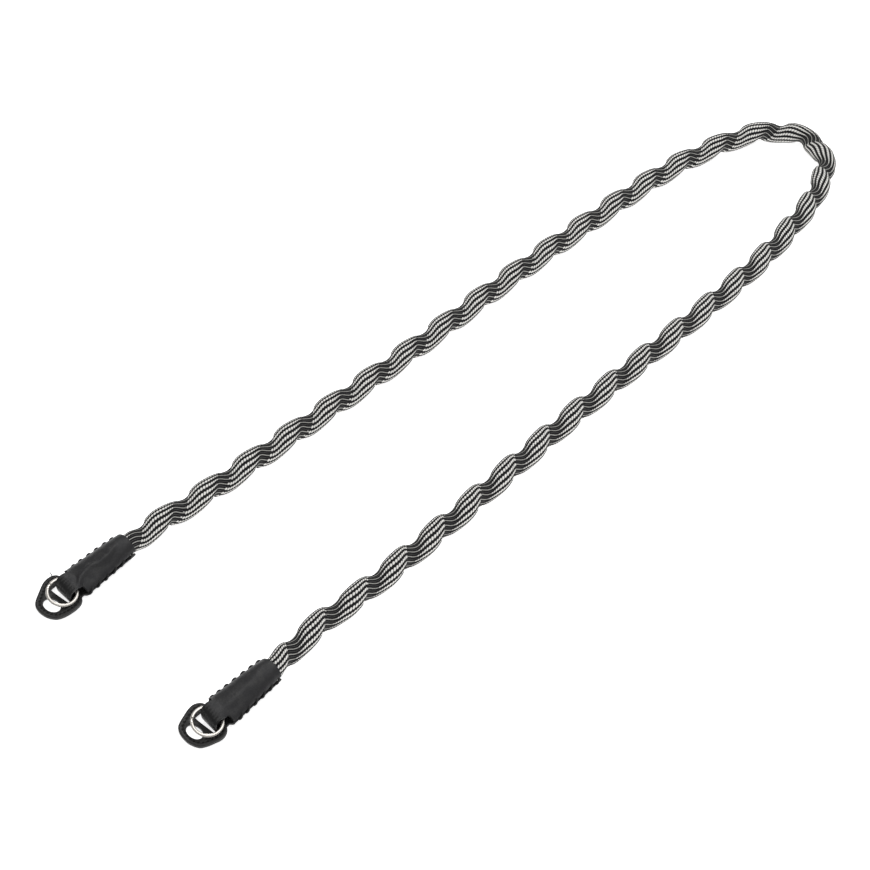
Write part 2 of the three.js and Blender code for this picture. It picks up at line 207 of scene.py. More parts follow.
add_hidden_end(route[0], 1.0, HIDDEN_DEPTHS[::-1], 0.0, -1)
upright = np.array([0, 0, 1])
for distance in ring_distances:
    centre = on_route(distance)
    ahead, behind = on_route(distance + TANGENT_REACH), on_route(distance - TANGENT_REACH)
    tangent = (ahead - behind) / np.linalg.norm(ahead - behind)
    side = np.cross(upright, tangent)
    phase = 2 * np.pi * turns_at(distance)
    near_end = min(distance, rope_length - distance)
    grown = float(smoothstep(near_end / WAVE_FADE))
    wave = ROPE_WAVE * grown
    middle = centre + wave * (np.cos(phase) * side + np.sin(phase) * upright)
    slope = -2 * np.pi * wave / LAY[0][1]
    heading = tangent + slope * (-np.sin(phase) * side + np.cos(phase) * upright)
    heading /= np.linalg.norm(heading)
    across = side - heading * side.dot(heading)
    across /= np.linalg.norm(across)
    rope_path.append(centre)
    half_width = MOUTH_HALF_WIDTH + (ROPE_HALF_WIDTH - MOUTH_HALF_WIDTH) * grown
    add_rope_ring(middle, across, np.cross(heading, across), distance, turns_at(distance) + HALF_TURN,
                  half_width, 1.0, HIDDEN_RELIEF + (1 - HIDDEN_RELIEF) * grown)
add_hidden_end(route[-1], -1.0, HIDDEN_DEPTHS, rope_length, 1)

ring_points = np.array(ring_points)
rings = len(ring_points)
vertices = ring_points[:, :-1].reshape(-1, 3)
from_ring, from_row = np.meshgrid(np.arange(rings - 1), np.arange(rib_rows), indexing="ij")
here = from_ring * rib_rows
there = here + rib_rows
after = (from_row + 1) % rib_rows
quads = np.stack([here + from_row, here + after, there + after, there + from_row], axis=-1).reshape(-1, 4)
caps = [list(range(rib_rows))[::-1], list(range((rings - 1) * rib_rows, rings * rib_rows))]
rope_mesh = bpy.data.meshes.new("rope_weave")
rope_mesh.from_pydata(vertices.tolist(), [], quads.tolist() + caps)
corner_ring = np.stack([from_ring, from_ring, from_ring + 1, from_ring + 1], axis=-1).reshape(-1)
corner_row = np.stack([from_row, from_row + 1, from_row + 1, from_row], axis=-1).reshape(-1)
ring_bead_mm = np.array(ring_bead) * 1000
for name, first in (("weave", np.array(ring_rib)), ("lay", np.array(ring_neck))):
    layer = rope_mesh.uv_layers.new(name=name)
    values = np.zeros((len(rope_mesh.loops), 2))
    values[:len(corner_ring), 0] = first[corner_ring, corner_row]
    values[:len(corner_ring), 1] = ring_bead_mm[corner_ring, corner_row]
    layer.data.foreach_set("uv", values.reshape(-1))
rope_mesh.validate()
rope = link_object("woven_rope", rope_mesh)
for polygon in rope_mesh.polygons:
    polygon.use_smooth = True


def feed(tree, socket, value):
    """A socket's value: another node's output, a colour or a number."""
    if hasattr(value, "is_output"):
        tree.links.new(value, socket)
    elif isinstance(value, tuple):
        socket.default_value = (*value, 1.0)
    else:
        socket.default_value = value


def node_math(tree, operation, *values):
    """A Math node with sockets or numbers as its inputs; returns its output socket."""
    node = tree.nodes.new("ShaderNodeMath")
    node.operation = operation
    for socket, value in zip(node.inputs, values):
        feed(tree, socket, value)
    return node.outputs[0]


def node_step(tree, value, low, high):
    """0 below low and 1 above high, smooth between."""
    node = tree.nodes.new("ShaderNodeMapRange")
    node.interpolation_type = "SMOOTHSTEP"
    tree.links.new(value, node.inputs["Value"])
    node.inputs["From Min"].default_value = low
    node.inputs["From Max"].default_value = high
    return node.outputs["Result"]


def node_mix(tree, factor, first, second):
    """A colour mix; colours are tuples or sockets."""
    node = tree.nodes.new("ShaderNodeMix")
    node.data_type = "RGBA"
    for place, value in ((0, factor), (6, first), (7, second)):
        feed(tree, node.inputs[place], value)
    return node.outputs[2]


def new_finish(name):
    """A material with its node tree and Principled BSDF."""
    material = bpy.data.materials.new(name)
    material.use_nodes = True
    tree = material.node_tree
    return material, tree, tree.nodes["Principled BSDF"]


def add_bump(tree, shader, height, strength, distance):
    """Fine relief from a height, fed to the shader's normal."""
    bump = tree.nodes.new("ShaderNodeBump")
    bump.inputs["Strength"].default_value = strength
    bump.inputs["Distance"].default_value = distance
    tree.links.new(height, bump.inputs["Height"])
    tree.links.new(bump.outputs[0], shader.inputs["Normal"])


# The weave's colours: round white beads in rows on the ribs, black between, thin grey lines in the necks.
# Distances across are shares of the step from rib to rib, distances along are shares of a bead or of a turn.
WHITE_YARN = (0.94, 0.925, 0.89)
BLACK_YARN = (0.0125, 0.0125, 0.0135)
GREY_LINE = (0.42, 0.415, 0.395)
FAINT_LINE = (0.09, 0.09, 0.09)
BEAD_MM = 1.2
BEAD_SHIFT = 0.37             # each rib's beads lie this much further on than its neighbour's
BEAD_SLANT = 1.2
BEAD_HALF_WIDTH, BEAD_HALF_LENGTH = 0.295, 0.46
BEAD_TAPER, TAPER_FROM = 0.14, -0.40             # beads grow narrower towards a neck
BEAD_EDGE = (0.78, 1.06)
LINE_EDGE = (0.05, 0.12)
FAINT_EDGE = (0.43, 0.47)
MEAN_PITCH_MM = 25.2
STEP_OUT = 0.005              # half the width of the sharp change after a neck
FADE_IN = (0.04, 0.01)        # the change before a neck starts and ends so far from its edge
FULL_TURN = 6.2832
BLACK_BEAD_HEIGHT, GROUND_HEIGHT = 0.15, 0.3
WHOLE, HALF = 100.5, 100.0    # see centred_fraction; the hundred keeps the sum above zero
weave, weave_tree, weave_shader = new_finish("woven_yarn")


def calc(operation, *values):
    """A Math node of the weave."""
    return node_math(weave_tree, operation, *values)


def inverse(mask):
    return calc("SUBTRACT", 1.0, mask)


def centred_fraction(value, shift):
    """From -0.5 to 0.5, and 0 at whole numbers, or with the shift HALF midway between them."""
    return calc("SUBTRACT", calc("FRACT", calc("ADD", value, shift)), 0.5)


def uv_sockets(name):
    """The two values of one of the rope's UV maps."""
    uv_map = weave_tree.nodes.new("ShaderNodeUVMap")
    uv_map.uv_map = name
    split = weave_tree.nodes.new("ShaderNodeSeparateXYZ")
    weave_tree.links.new(uv_map.outputs[0], split.inputs[0])
    return split.outputs[0], split.outputs[1]


rib_value, along_value = uv_sockets("weave")
neck_value, _ = uv_sockets("lay")
rib_fraction = centred_fraction(rib_value, WHOLE)
rib_distance = calc("ABSOLUTE", rib_fraction)
rib_number = calc("SUBTRACT", rib_value, rib_fraction)
bead_offset = calc("ADD", calc("MULTIPLY", rib_number, BEAD_SHIFT),
                   calc("MULTIPLY", rib_fraction, BEAD_SLANT))
bead_fraction = centred_fraction(calc("ADD", calc("DIVIDE", along_value, BEAD_MM), bead_offset), HALF)
to_bead_middle = calc("ADD", calc("DIVIDE", rib_fraction, ROPE_RIBS),
                      calc("MULTIPLY", bead_fraction, BEAD_MM / MEAN_PITCH_MM))
neck_offset = centred_fraction(calc("SUBTRACT", neck_value, to_bead_middle), WHOLE)
after_neck = node_step(weave_tree, neck_offset, NECK_SHARE - STEP_OUT, NECK_SHARE + STEP_OUT)
before_neck = inverse(node_step(weave_tree, neck_offset, -NECK_SHARE - FADE_IN[0], -NECK_SHARE + FADE_IN[1]))
in_lobe = calc("MAXIMUM", after_neck, before_neck)
in_neck = inverse(in_lobe)
taper = calc("MULTIPLY", node_step(weave_tree, neck_offset, TAPER_FROM, -NECK_SHARE), inverse(after_neck))
bead_reach = calc("SUBTRACT", BEAD_HALF_WIDTH, calc("MULTIPLY", taper, BEAD_TAPER))
over_width = calc("POWER", calc("DIVIDE", rib_distance, bead_reach), 2.0)
over_length = calc("POWER", calc("DIVIDE", calc("ABSOLUTE", bead_fraction), BEAD_HALF_LENGTH), 2.0)
bead_round = calc("SQRT", calc("ADD", over_width, over_length))
bead_mask = calc("MULTIPLY", inverse(node_step(weave_tree, bead_round, *BEAD_EDGE)), in_lobe)
line_mask = calc("MULTIPLY", inverse(node_step(weave_tree, rib_distance, *LINE_EDGE)), in_neck)
faint_mask = calc("MULTIPLY", node_step(weave_tree, rib_distance, *FAINT_EDGE), in_neck)
colour = node_mix(weave_tree, faint_mask, BLACK_YARN, FAINT_LINE)
colour = node_mix(weave_tree, line_mask, colour, GREY_LINE)
colour = node_mix(weave_tree, bead_mask, colour, WHITE_YARN)
weave_tree.links.new(colour, weave_shader.inputs["Base Color"])
black_wave = calc("COSINE", calc("MULTIPLY", calc("ADD", bead_fraction, 0.5), FULL_TURN))
black_bead = calc("MULTIPLY", black_wave, BLACK_BEAD_HEIGHT)
bead_height = calc("MULTIPLY", inverse(calc("MINIMUM", bead_round, 1.0)), in_lobe)
yarn_height = calc("ADD", bead_height, calc("ADD", black_bead, GROUND_HEIGHT))
add_bump(weave_tree, weave_shader, yarn_height, 0.8, 0.0003)
weave_shader.inputs["Roughness"].default_value = 0.85
weave_shader.inputs["Specular IOR Level"].default_value = 0.15
rope_mesh.materials.append(weave)
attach(rope, "root")
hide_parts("rope")

# Sleeves: each is one strip of black leather about a millimetre thick. It runs from the rope's mouth over
# the top, narrows to a tongue, folds round the split ring and comes back below, and its two layers are
# whip-stitched together over the rope's end with black thread, along both edges. Sizes are in millimetres.
LEATHER_WALL = 0.88
WALL_ROUNDING = 0.2
EDGE_HALF_THICKNESS = 0.9
EDGE_PROUD = 0.12
MOUTH_TO_FOLD = 35.5
BODY_START = 7.0
BODY_ROWS = np.array([  # distance from the fold, half width, height, pinch of the edges
    (BODY_START, 7.4, 8.8, 1.34), (10.5, 7.2, 9.2, 1.32), (14.5, 7.0, 9.6, 1.30), (18.5, 6.8, 10.1, 1.26),
    (24.5, 6.5, 10.8, 1.18), (30.5, 6.1, 11.2, 1.08), (MOUTH_TO_FOLD, 5.7, 11.3, 1.0),
])
CROWN_POWER = 0.62
CROWN_START, CROWN_LENGTH = 3.0, 5.0
TONGUE_HALF_WIDTH = 4.5
TONGUE_EXTRA = 0.6            # the tongue is wider by this on its -Y side
TONGUE_TOP = 8.8
SHOULDER = (6.7, 7.15)
NEAR_SHOULDER = [4.4, 5.1, 5.7, 6.2, 6.5, 6.7, 6.85, 7.0, 7.15, 7.3, 7.5]
TONGUE_LOOP = [
    (5.0, 8.8), (3.6, 8.8), (1.8, 8.5), (0.6, 7.7), (0.0, 6.2), (0.15, 4.2), (0.7, 2.0), (1.5, 0.5),
    (2.8, 0.0), (4.4, 0.0),
]
LOOP_STEPS = 6
PANEL_LEAN = math.tan(math.radians(12))
LEAN_LIMIT = 0.82
SKEW_REACH = 8.5
COLUMNS = 36
PULL_START, PULL_OVER = 0.55, 0.4                # shares of the half width where the stitches pull
PULL_LENGTH, PULL_SHARE = 0.75, 0.015
RIDGE_WIDTH, RIDGE_END, RIDGE_FADE = 1.2, 31.0, 5.0
WRINKLE_HEIGHT, WRINKLE_AT, WRINKLE_REACH = 0.11, 1.6, 4.2
COARSE_WRINKLE, FINE_WRINKLE, FINE_SHARE = 4.3, 7.9, 0.6
UNEVEN_HEIGHT, UNEVEN_ALONG, UNEVEN_ACROSS, UNEVEN_SLANT = 0.05, 0.9, 0.8, 0.35
PAINTED_SHADE_AT, PAINTED_SHADE_OVER = 2.2, 1.6                # painted shade: the fold is painted dark up to the first, fading over the second
THREAD_RADIUS = 0.5
THREAD_ENDS = [0.25, 0.35, 0.45]
STITCH_REACH = 1.3
STITCH_TURNS = (-1.25, *np.linspace(-1, 1, 11), 1.25)
STITCH_WRAP = math.radians(98)                   # a stitch goes so far round the edge, up and down
STITCH_INWARD, STITCH_SEAT = 0.95, 0.6
STITCH_RISE, STITCH_TUCK = 1.05, 0.7
UPPER_OUT = 0.08                                 # the upper edge's stitches stand out more and climb
UPPER_CLIMB, CLIMB_FROM = 0.085 * 0.5, 6.0
ENDS = {
    "left": {
        "fold": (-228.7, 45.2), "skew": 0.12, "advance": 0.3, "seed": 3.0,
        "ridge": [
            (4.7, -4.6), (6.5, -3.0), (8.1, -1.6), (14.0, -0.6), (19.0, -2.0), (23.7, -1.9), (28.0, -1.1),
        ],
        "ridge_height": 0.9,
        "upper_stitches": [11.5, 15.4, 19.8, 24.0, 28.3, 32.3],
        "lower_stitches": [8.6, 13.2, 18.0, 22.6, 27.4, 32.6],
        "dents": [(12.5, -4.6, 3.0, 1.3, 0.35), (22.0, -4.6, 3.4, 1.2, 0.30), (9.2, 2.6, 2.2, 2.0, 0.22)],
    },
    "right": {
        "fold": (-237.4, -48.6), "skew": 0.16, "advance": 0.0, "seed": 11.0,
        "ridge": [(7.5, -1.6), (13.0, -1.9), (20.0, -1.2), (27.0, -0.8), (33.0, -0.2)],
        "ridge_height": 0.3,
        "upper_stitches": [8.7, 12.3, 16.3, 20.7, 25.3, 29.6, 33.5],
        "lower_stitches": [10.9, 15.0, 19.7, 24.3, 28.8, 33.1],
        "dents": [(10.5, -4.4, 2.6, 1.4, 0.30), (19.0, -4.6, 4.0, 1.2, 0.18), (8.8, 2.2, 2.0, 1.8, 0.15)],
    },
}


def body_row(along):
    """Half width, height and pinch of the sleeve at a distance from the fold."""
    return [float(np.interp(along, BODY_ROWS[:, 0], BODY_ROWS[:, k])) for k in (1, 2, 3)]


def side_profile(share, pinch):
    return np.power(np.clip(1 - share * share, 0, 1), CROWN_POWER * pinch)


def leather_point(along, height, across, below, end):
    """A point of the strip's outside: crowned and drawn in over the rope, flat in the tongue."""
    half_width, tall, pinch = body_row(along)
    half_width += EDGE_PROUD
    edge_share = abs(across) / half_width
    crown = float(smoothstep((along - CROWN_START) / CROWN_LENGTH))
    drop = crown * (tall / 2 - EDGE_HALF_THICKNESS) * (1 - side_profile(min(edge_share, 1.0), pinch))
    z = height + drop if below else height - drop
    near_edge = float(smoothstep((edge_share - PULL_START) / PULL_OVER))
    stitches = end["upper_stitches"] if across > 0 else end["lower_stitches"]
    pull = sum(math.exp(-((along - place) / PULL_LENGTH) ** 2) for place in stitches)
    y = across * (1 - PULL_SHARE * pull * near_edge * crown)
    if not below:
        ridge_at = float(np.interp(along, *np.array(end["ridge"]).T))
        fade = float(smoothstep((RIDGE_END - along) / RIDGE_FADE))
        z += crown * fade * end["ridge_height"] * math.exp(-((across - ridge_at) / RIDGE_WIDTH) ** 2)
        for place, side, long, wide, deep in end["dents"]:
            z -= deep * math.exp(-((along - place) / long) ** 2 - ((across - side) / wide) ** 2)
        seed = end["seed"]
        wrinkle = math.sin(COARSE_WRINKLE * across + seed)
        wrinkle += FINE_SHARE * math.sin(FINE_WRINKLE * across + 2 * seed)
        z += WRINKLE_HEIGHT * wrinkle * float(smoothstep(1 - abs(along - WRINKLE_AT) / WRINKLE_REACH))
        z += (UNEVEN_HEIGHT * math.sin(UNEVEN_ALONG * along + seed)
              * math.sin(UNEVEN_ACROSS * across + along * UNEVEN_SLANT))
    toward_fold = min((MOUTH_TO_FOLD - along) / MOUTH_TO_FOLD, LEAN_LIMIT)
    z += z / tall * PANEL_LEAN * toward_fold * across
    moved = end["skew"] * (across - TONGUE_HALF_WIDTH) - end["advance"]
    x = along + moved * max(0.0, 1 - along / SKEW_REACH)
    return x, y, z


def strip_path():
    """Stations along the strip: distance from the fold, height at its middle, and whether it is below."""
    top = [*np.arange(MOUTH_TO_FOLD, 7.6, -0.55), *NEAR_SHOULDER[::-1]]
    stations = [(along, body_row(along)[1] if along > BODY_START else TONGUE_TOP, False) for along in top]
    loop = np.array(TONGUE_LOOP)
    for i in range(1, len(loop) - 2):
        for share in np.linspace(0, 1, LOOP_STEPS, endpoint=False):
            along, height = curve_between(loop[i - 1:i + 3], share)
            stations.append((float(along), float(height), i > 3))
    bottom = [2.8, 3.5, *NEAR_SHOULDER, *np.arange(8.1, 35.3, 0.6), MOUTH_TO_FOLD]
    return stations + [(along, 0.0, True) for along in bottom]


def pick_only(piece):
    """Select one object and make it the active one."""
    bpy.ops.object.select_all(action="DESELECT")
    piece.select_set(True)
    bpy.context.view_layer.objects.active = piece


def face_outward(merge_within=None):
    """Turn the active object's faces outward, once points nearer than a given distance are merged."""
    bpy.ops.object.mode_set(mode="EDIT")
    bpy.ops.mesh.select_all(action="SELECT")
    if merge_within:
        bpy.ops.mesh.remove_doubles(threshold=merge_within)
    bpy.ops.mesh.normals_make_consistent(inside=False)
    bpy.ops.object.mode_set(mode="OBJECT")


def tube_faces(ring_count, sides, origin):
    """Faces of a closed tube whose rings of points follow each other from the origin on."""
    faces = []
    for ring in range(ring_count - 1):
        here, there = origin + ring * sides, origin + (ring + 1) * sides
        for side in range(sides):
            after = (side + 1) % sides
            faces.append((here + side, here + after, there + after, there + side))
    last = origin + (ring_count - 1) * sides
    faces.append(tuple(origin + side for side in range(sides))[::-1])
    faces.append(tuple(last + side for side in range(sides)))
    return faces


def sweep_tubes(threads, sides):
    """Closed thin tubes, each through its points in millimetres with a radius at each point."""
    corners, faces = [], []
    turn = 2 * np.pi * np.arange(sides) / sides
    for points, radii in threads:
        faces += tube_faces(len(points), sides, len(corners) * sides)
        tangents = np.gradient(np.array(points, float), axis=0)
        tangents /= np.linalg.norm(tangents, axis=1)[:, None]
        helper = np.array([1.0, 0.3, 0.2])
        for point, tangent, radius in zip(points, tangents, radii):
            first = np.cross(tangent, helper)
            first /= np.linalg.norm(first)
            second = np.cross(tangent, first)
            corners.append(point + radius * (np.cos(turn)[:, None] * first + np.sin(turn)[:, None] * second))
            helper = -second
    return np.vstack(corners), faces


def piece_from(name, vertices, faces, smooth_angle=None):
    """An object whose mesh is made of vertices in metres, its faces outward and smooth."""
    mesh = bpy.data.meshes.new(name)
    mesh.from_pydata(np.asarray(vertices).tolist(), [], [list(face) for face in faces])
    mesh.validate()
    piece = link_object(name, mesh)
    pick_only(piece)
    face_outward()
    if smooth_angle is None:
        bpy.ops.object.shade_smooth()
    else:
        bpy.ops.object.shade_smooth_by_angle(angle=math.radians(smooth_angle))
    return piece


def new_group(name, inputs, outputs):
    """A shader node group with named sockets; returns it with the sockets to read and to feed inside it."""
    group = bpy.data.node_groups.new(name, "ShaderNodeTree")
    for direction, sockets in (("INPUT", inputs), ("OUTPUT", outputs)):
        for socket_name, kind in sockets.items():
            group.interface.new_socket(socket_name, in_out=direction, socket_type=f"NodeSocket{kind}")
    return group, group.nodes.new("NodeGroupInput").outputs, group.nodes.new("NodeGroupOutput").inputs


def place_group(tree, group, values):
    """A group node with its values by socket name; returns its output sockets."""
    node = tree.nodes.new("ShaderNodeGroup")
    node.node_tree = group
    for name, value in values.items():
        feed(tree, node.inputs[name], value)
    return node.outputs


def add_texture(tree, kind, numbers):
    """A texture node on the piece's own place, with its numbers by socket name."""
    node = tree.nodes.new(f"ShaderNodeTex{kind}")
    place = tree.nodes.new("ShaderNodeTexCoord")
    tree.links.new(place.outputs["Object"], node.inputs["Vector"])
    for name, value in numbers.items():
        feed(tree, node.inputs[name], value)
    return node


# Leather grain, for sleeves and protectors: fine pebbles, soft clouds of tone and hair-thin creases.
# Where the painted shade mask is 1, the leather has the painted shade colour, and with a dulling of 1 it is
# dull too.
CREASE_EDGE = 0.09
CLOUD_RANGE = (0.32, 0.72)
ROUGH_IN_DARK, ROUGH_CHANGE = 0.50, -0.10
PEBBLE_HEIGHT, CREASE_HEIGHT, CLOUD_HEIGHT = -0.55, 0.35, 0.6
GRAIN_DEPTH = 0.00012
grain, grain_in, grain_out = new_group(
    "leather_grain",
    {"Pebbles per metre": "Float", "Dark": "Color", "Light": "Color", "Painted shade mask": "Float",
     "Painted shade colour": "Color", "Dulling": "Float"},
    {"Colour": "Color", "Roughness": "Float", "Height": "Float"})
pebbles = add_texture(grain, "Voronoi", {"Scale": grain_in["Pebbles per metre"]})
clouds = add_texture(grain, "Noise", {"Scale": 260.0, "Detail": 5.0, "Roughness": 0.62})
creases = add_texture(grain, "Voronoi", {"Scale": 640.0})
creases.feature = "DISTANCE_TO_EDGE"
crease_mask = node_step(grain, creases.outputs["Distance"], 0.0, CREASE_EDGE)
tone = node_step(grain, clouds.outputs["Fac"], *CLOUD_RANGE)
face_colour = node_mix(grain, tone, grain_in["Dark"], grain_in["Light"])
# Painted shade: where the mask is 1, the colour becomes the near-black shade colour.
face_colour = node_mix(grain, grain_in["Painted shade mask"], face_colour, grain_in["Painted shade colour"])
grain.links.new(face_colour, grain_out["Colour"])
rough = node_math(grain, "ADD", node_math(grain, "MULTIPLY", tone, ROUGH_CHANGE), ROUGH_IN_DARK)
dull = node_math(grain, "MULTIPLY", grain_in["Painted shade mask"], grain_in["Dulling"])
grain.links.new(node_math(grain, "MAXIMUM", rough, dull), grain_out["Roughness"])
pebble_height = node_math(grain, "MULTIPLY", pebbles.outputs["Distance"], PEBBLE_HEIGHT)
crease_height = node_math(grain, "MULTIPLY", crease_mask, CREASE_HEIGHT)
cloud_height = node_math(grain, "MULTIPLY", clouds.outputs["Fac"], CLOUD_HEIGHT)
grain_height = node_math(grain, "ADD", node_math(grain, "ADD", pebble_height, crease_height), cloud_height)
grain.links.new(grain_height, grain_out["Height"])


def leather_finish(name, dark, light, pebbles_per_metre, relief, painted_shade_attribute, painted_shade_colour, dulling):
    """Black leather with its grain, painted darker (painted shade) where the named point attribute says."""
    material, tree, shader = new_finish(name)
    attribute = tree.nodes.new("ShaderNodeAttribute")
    attribute.attribute_name = painted_shade_attribute
    face = place_group(tree, grain, {
        "Pebbles per metre": pebbles_per_metre, "Dark": dark, "Light": light,
        "Painted shade mask": attribute.outputs["Fac"], "Painted shade colour": painted_shade_colour, "Dulling": dulling,
    })
    tree.links.new(face["Colour"], shader.inputs["Base Color"])
    tree.links.new(face["Roughness"], shader.inputs["Roughness"])
    add_bump(tree, shader, face["Height"], relief, GRAIN_DEPTH)
    shader.inputs["Specular IOR Level"].default_value = 0.38
    return material


# Waxed thread, for the whip stitches and the protectors' seam: its two strands show as slanting bands
twist, twist_in, twist_out = new_group("thread_twist", {"Dark": "Color", "Light": "Color"},
                                       {"Colour": "Color", "Height": "Float"})
bands = add_texture(twist, "Wave", {"Scale": 900.0})
strand_colour = node_mix(twist, bands.outputs["Fac"], twist_in["Dark"], twist_in["Light"])
twist.links.new(strand_colour, twist_out["Colour"])
twist.links.new(bands.outputs["Fac"], twist_out["Height"])


def thread_finish(name, dark, light):
    material, tree, shader = new_finish(name)
    strands = place_group(tree, twist, {"Dark": dark, "Light": light})
    tree.links.new(strands["Colour"], shader.inputs["Base Color"])
    add_bump(tree, shader, strands["Height"], 0.5, 0.0001)
    shader.inputs["Roughness"].default_value = 0.65
    return material


# Near the fold the sleeve leather is painted almost black: painted shade, set by the point attribute made
# below.
sleeve_leather = leather_finish("sleeve_leather", (0.0110, 0.0110, 0.0130), (0.0185, 0.018, 0.0185), 1700.0,
                                0.55, "painted_fold_shade", (0.003, 0.003, 0.003), 0.0)
black_thread = thread_finish("black_thread", (0.004, 0.004, 0.005), (0.013, 0.013, 0.0135))


def whip_stitch(place, sign, end):
    """The way of one stitch round the sleeve's edge, slanting along it."""
    way = []
    for turn in STITCH_TURNS:
        along = place + STITCH_REACH * max(-1.0, min(1.0, turn))
        edge = sign * (body_row(along)[0] + EDGE_PROUD)
        low = leather_point(along, 0.0, edge, True, end)
        high = leather_point(along, body_row(along)[1], edge, False, end)
        around = min(abs(turn), 1.0) * STITCH_WRAP
        out = STITCH_INWARD * (math.cos(around) - STITCH_SEAT) + (UPPER_OUT if sign > 0 else 0.0)
        up = math.copysign(STITCH_RISE * math.sin(around) - (STITCH_TUCK if abs(turn) > 1 else 0.0), turn)
        up += UPPER_CLIMB * (along - CLIMB_FROM) if sign > 0 else 0.0
        way.append(np.array([high[0], (low[1] + high[1]) / 2 + sign * out, (low[2] + high[2]) / 2 + up]))
    return way


across_shares = np.sin(np.linspace(-np.pi / 2, np.pi / 2, COLUMNS + 1))
full_points = len(STITCH_TURNS) - 2 * len(THREAD_ENDS)
stitch_radii = [*THREAD_ENDS, *[THREAD_RADIUS] * full_points, *THREAD_ENDS[::-1]]
for side, end in ENDS.items():
    fold = np.array([*end["fold"], 0.0])
    points = []
    for along, height, below in strip_path():
        widened = float(smoothstep((along - SHOULDER[0]) / (SHOULDER[1] - SHOULDER[0])))
        half_width = TONGUE_HALF_WIDTH + (body_row(along)[0] + EDGE_PROUD - TONGUE_HALF_WIDTH) * widened
        for share in across_shares:
            across = (half_width + (TONGUE_EXTRA * (1 - widened) if share < 0 else 0.0)) * share
            points.append(leather_point(along, height, across, below, end))
    points = np.array(points)
    row_length = COLUMNS + 1
    starts = [row * row_length + k for row in range(len(points) // row_length - 1) for k in range(COLUMNS)]
    faces = [(first, first + 1, first + row_length + 1, first + row_length) for first in starts]
    mesh = bpy.data.meshes.new(f"leather_sleeve_{side}")
    mesh.from_pydata(((points + fold) / 1000).tolist(), [], faces)
    mesh.validate()
    # Painted shade: this point attribute is 1 at the fold and fades to 0 away from it; where it is 1 the
    # leather is painted near black.
    painted_fold_shade = mesh.attributes.new("painted_fold_shade", "FLOAT", "POINT")
    painted_fold_shade.data.foreach_set("value", 1 - smoothstep((points[:, 0] - PAINTED_SHADE_AT) / PAINTED_SHADE_OVER))
    sleeve = link_object(f"leather_sleeve_{side}", mesh)
    pick_only(sleeve)
    wall = sleeve.modifiers.new("wall", "SOLIDIFY")
    wall.thickness = LEATHER_WALL / 1000
    wall.offset = -1.0
    wall.use_even_offset = False
    bpy.ops.object.modifier_apply(modifier="wall")
    rounding = sleeve.modifiers.new("rounding", "BEVEL")
    rounding.width = WALL_ROUNDING / 1000
    rounding.segments = 2
    rounding.limit_method = "ANGLE"
    rounding.angle_limit = math.radians(50)
    bpy.ops.object.modifier_apply(modifier="rounding")
    bpy.ops.object.shade_smooth_by_angle(angle=math.radians(50))
    sleeve.data.materials.append(sleeve_leather)
    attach(sleeve, "root")
    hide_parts(f"sleeve_{side}")

    stitched = [(whip_stitch(place, 1, end), stitch_radii) for place in end["upper_stitches"]]
    stitched += [(whip_stitch(place, -1, end), stitch_radii) for place in end["lower_stitches"]]
    stitch_points, stitch_faces = sweep_tubes(stitched, 8)
    stitches = piece_from(f"whip_stitches_{side}", (stitch_points + fold) / 1000, stitch_faces)
    stitches.data.materials.append(black_thread)
    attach(stitches, "root")

# Split rings: two flat coils of nickel-plated spring wire that lie on each other and pass from one to the
# other in a short step. Each ring hangs in its tongue's loop, above its protector.
RING_RADIUS = 6.2
COIL_HALF_WIDTH = 0.64
COIL_HALF_HEIGHT = 0.305
COIL_LIFT = 0.315
COIL_STEPS = 190
STEP_TURN = 0.42
END_GAP = 0.04
END_SQUEEZE = 0.9
ROUNDNESS = 0.9
WIRE_SIDES = 16
RINGS = {  # centre, measured from the fold, and the angle at which the wire begins
    "left": ((-0.9, -0.1, 5.3), 2.2), "right": ((-0.75, 0.0, 5.2), 2.6),
}
RING_LEAN_X, RING_LEAN_Y = math.radians(6), math.radians(16)
NICKEL_DARK, NICKEL_LIGHT = (0.53, 0.505, 0.47), (0.63, 0.605, 0.57)
NICKEL_ROUGH, NICKEL_ROUGH_CHANGE = 0.26, 0.08


def rounded_share(value):
    """A sine or cosine pushed a little towards a square's."""
    return math.copysign(abs(value) ** ROUNDNESS, value)


wire_section = [(rounded_share(math.cos(turn)), rounded_share(math.sin(turn)))
                for turn in np.linspace(0, 2 * math.pi, WIRE_SIDES, endpoint=False)]
ring_finish, tree, shader = new_finish("nickel_wire")
shader.inputs["Metallic"].default_value = 1.0
brushed = add_texture(tree, "Noise", {"Scale": 6000.0, "Detail": 3.0}).outputs["Fac"]
tree.links.new(node_mix(tree, brushed, NICKEL_DARK, NICKEL_LIGHT), shader.inputs["Base Color"])
nickel_rough = node_math(tree, "MULTIPLY", brushed, NICKEL_ROUGH_CHANGE)
nickel_rough = node_math(tree, "ADD", nickel_rough, NICKEL_ROUGH)
tree.links.new(nickel_rough, shader.inputs["Roughness"])
add_bump(tree, shader, brushed, 0.05, 0.00005)
ring_axis = Vector((-math.tan(RING_LEAN_X), -math.tan(RING_LEAN_Y), 1.0)).normalized()
ring_turn = Vector((0, 0, 1)).rotation_difference(ring_axis).to_matrix()
